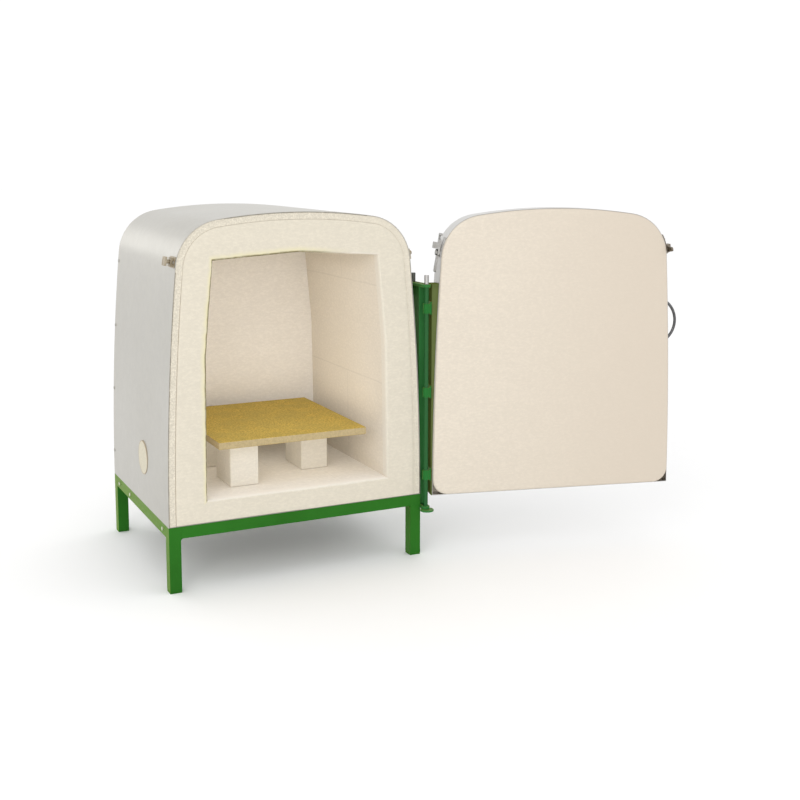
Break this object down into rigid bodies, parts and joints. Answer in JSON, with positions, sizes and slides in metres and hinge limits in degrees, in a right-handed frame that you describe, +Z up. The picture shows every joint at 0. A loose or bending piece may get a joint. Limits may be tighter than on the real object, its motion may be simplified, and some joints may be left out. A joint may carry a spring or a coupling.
{
  "type": "gas kiln",
  "caption": "Front-loading gas kiln with an arched sheet casing on a welded stand, fibre-lined chamber with a shelf on props, side burner port and a swung-open door.",
  "frame": {"origin": "on the floor at the centre of the stand's footprint", "axes": "+Z up, -Y out of the open front, +X towards the hinge side"},
  "size_m": [1.4133, 0.8169, 0.932],
  "materials": {
    "green_paint": "satin",
    "casing_metal": "satin",
    "bright_steel": "satin",
    "ceramic_fibre": "matte",
    "bung_fibre": "matte",
    "firebrick": "matte",
    "shelf_ceramic": "matte",
    "keeper_steel": "matte",
    "black_paint": "satin"
  },
  "bodies": {
    "kiln": {"leg_front_left": "green_paint", "leg_front_right": "green_paint", "leg_back_left": "green_paint", "leg_back_right": "green_paint", "leg_feet": "green_paint", "rail_front": "green_paint", "rail_back": "green_paint", "rail_left": "green_paint", "rail_right": "green_paint", "hinge_rail_lug": "green_paint", "hinge_bracket": "green_paint", "base_plate": "casing_metal", "casing_sheet": "casing_metal", "back_panel": "casing_metal", "flue_collar": "casing_metal", "rail_screws": "bright_steel", "back_rivets": "bright_steel", "flue_screws": "bright_steel", "keeper_rivets": "bright_steel", "bracket_rivets": "bright_steel", "hinge_rod_rear": "bright_steel", "fibre_wrap": "ceramic_fibre", "front_board": "ceramic_fibre", "floor_slab": "ceramic_fibre", "wall_left": "ceramic_fibre", "wall_right": "ceramic_fibre", "roof_left": "ceramic_fibre", "roof_right": "ceramic_fibre", "back_slab": "ceramic_fibre", "prop_front_left": "firebrick", "prop_right": "firebrick", "prop_back_left": "firebrick", "keeper_left": "keeper_steel", "keeper_right": "keeper_steel"},
    "hinge_link": {"link_web": "green_paint", "link_top_plate": "green_paint", "link_bottom_plate": "green_paint", "link_foot": "green_paint"},
    "door": {"hinge_rod_front": "bright_steel", "door_leaf": "green_paint", "door_lug_top": "green_paint", "door_lug_middle": "green_paint", "door_lug_bottom": "green_paint", "lug_bolts": "bright_steel", "door_pan": "casing_metal", "door_backing": "ceramic_fibre", "door_pad": "ceramic_fibre", "door_handle": "black_paint", "handle_feet": "black_paint", "latch_base_hinge_side": "bright_steel", "latch_stud_hinge_side": "bright_steel", "latch_nut_hinge_side": "bright_steel", "latch_base_free_side": "bright_steel", "latch_stud_free_side": "bright_steel", "latch_nut_free_side": "bright_steel"},
    "hook_hinge_side": {"latch_hook_hinge_side": "bright_steel"},
    "hook_free_side": {"latch_hook_free_side": "bright_steel"},
    "bung": {"burner_bung": "bung_fibre"},
    "shelf": {"shelf": "shelf_ceramic"}
  },
  "joints": [
    {"name": "link_swing", "type": "hinge", "parent": "kiln", "child": "hinge_link", "pos_m": [0.357, -0.2185, 0.4], "axis": [0, 0, 1], "range_deg": [0, 30]},
    {"name": "door_swing", "type": "hinge", "parent": "hinge_link", "child": "door", "pos_m": [0.357, -0.2955, 0.4], "axis": [0, 0, 1], "range_deg": [-166, 10]},
    {"name": "hook_turn_hinge_side", "type": "hinge", "parent": "door", "child": "hook_hinge_side", "pos_m": [0.39702, -0.29723, 0.81677], "axis": [-0.957, 0.2386, 0.165], "range_deg": [-90, 0]},
    {"name": "hook_turn_free_side", "type": "hinge", "parent": "door", "child": "hook_free_side", "pos_m": [1.01364, -0.45097, 0.81677], "axis": [0.957, -0.2386, 0.165], "range_deg": [0, 180]},
    {"name": "bung_pull", "type": "slide", "parent": "kiln", "child": "bung", "axis": [-1, 0, 0], "range_m": [0, 0.11]},
    {"name": "shelf_lift", "type": "slide", "parent": "kiln", "child": "shelf", "axis": [0, 0, 1], "range_m": [0, 0.15]}
  ]
}
